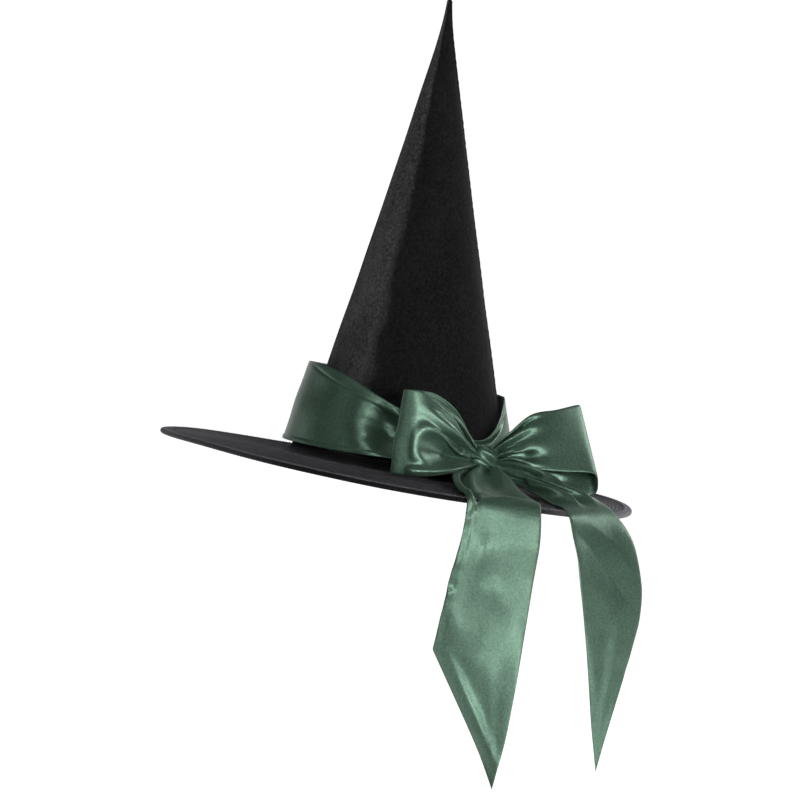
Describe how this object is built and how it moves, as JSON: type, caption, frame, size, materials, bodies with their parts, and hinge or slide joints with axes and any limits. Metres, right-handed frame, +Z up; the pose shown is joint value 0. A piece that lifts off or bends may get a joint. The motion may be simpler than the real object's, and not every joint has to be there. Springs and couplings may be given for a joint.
{
  "type": "witch hat",
  "caption": "Tall pointed hat on a wide stiff brim, with a satin sash tied in a big bow whose pointed tails hang over the edge.",
  "frame": {"origin": "centre of the head opening", "axes": "+Z up with the hat worn, -Y the wearer's front, +X the wearer's left; the hat's own plane is tipped back 9.9 degrees about X"},
  "size_m": [0.431, 0.4321, 0.6957],
  "materials": {
    "velour_crown": "black crushed velour with a soft nap sheen",
    "velour_brim": "black velour with concentric topstitching",
    "velour_binding": "black velour folded over the edge",
    "foam": "matte charcoal felt-faced foam",
    "felt": "matte black felt",
    "sweatband_tape": "ribbed black tape",
    "label_tape": "plain white woven tape, blank",
    "satin": "dark green satin, glossy",
    "thread": "black polyester thread",
    "wire_steel": "drawn wire"
  },
  "bodies": {
    "hat": {"crown_cover": "velour_crown", "crown_stiffener": "foam", "crown_seam_allowance": "felt", "brim_top_cover": "velour_brim", "brim_core": "felt", "brim_under_cover": "velour_brim", "brim_edge_binding": "velour_binding", "brim_edge_wire": "wire_steel", "wire_joiner": "wire_steel", "brim_edge_stitching": "thread", "sweatband": "sweatband_tape", "hat_band": "satin", "bow_knot": "satin", "tail_front_on_brim": "satin", "tail_rear_on_brim": "satin", "band_tack_1": "thread", "band_tack_2": "thread", "band_tack_3": "thread", "band_tack_4": "thread"},
    "front_loop": {"bow_loop_front": "satin"},
    "rear_loop": {"bow_loop_rear": "satin"},
    "front_tail": {"tail_front": "satin"},
    "rear_tail": {"tail_rear": "satin"},
    "label": {"care_label": "label_tape"}
  },
  "joints": [
    {"name": "front_tail_swing", "type": "hinge", "parent": "hat", "child": "front_tail", "pos_m": [0.18927, 0.08992, -0.02276], "axis": [0.4586, -0.8754, 0.1528], "range_deg": [-10, 30]},
    {"name": "rear_tail_swing", "type": "hinge", "parent": "hat", "child": "rear_tail", "pos_m": [0.12003, 0.16737, -0.03464], "axis": [0.8261, -0.5551, 0.0969], "range_deg": [-10, 30]},
    {"name": "front_loop_lift", "type": "hinge", "parent": "hat", "child": "front_loop", "pos_m": [0.07555, 0.07434, 0.01504], "axis": [-0.7373, -0.6756, 0], "range_deg": [0, 20]},
    {"name": "rear_loop_lift", "type": "hinge", "parent": "hat", "child": "rear_loop", "pos_m": [0.07555, 0.07434, 0.01504], "axis": [0.7373, 0.6756, 0], "range_deg": [0, 20]},
    {"name": "care_label_flip", "type": "hinge", "parent": "hat", "child": "label", "pos_m": [0, 0.08428, 0.02082], "axis": [-1, 0, 0], "range_deg": [-4, 80]}
  ]
}
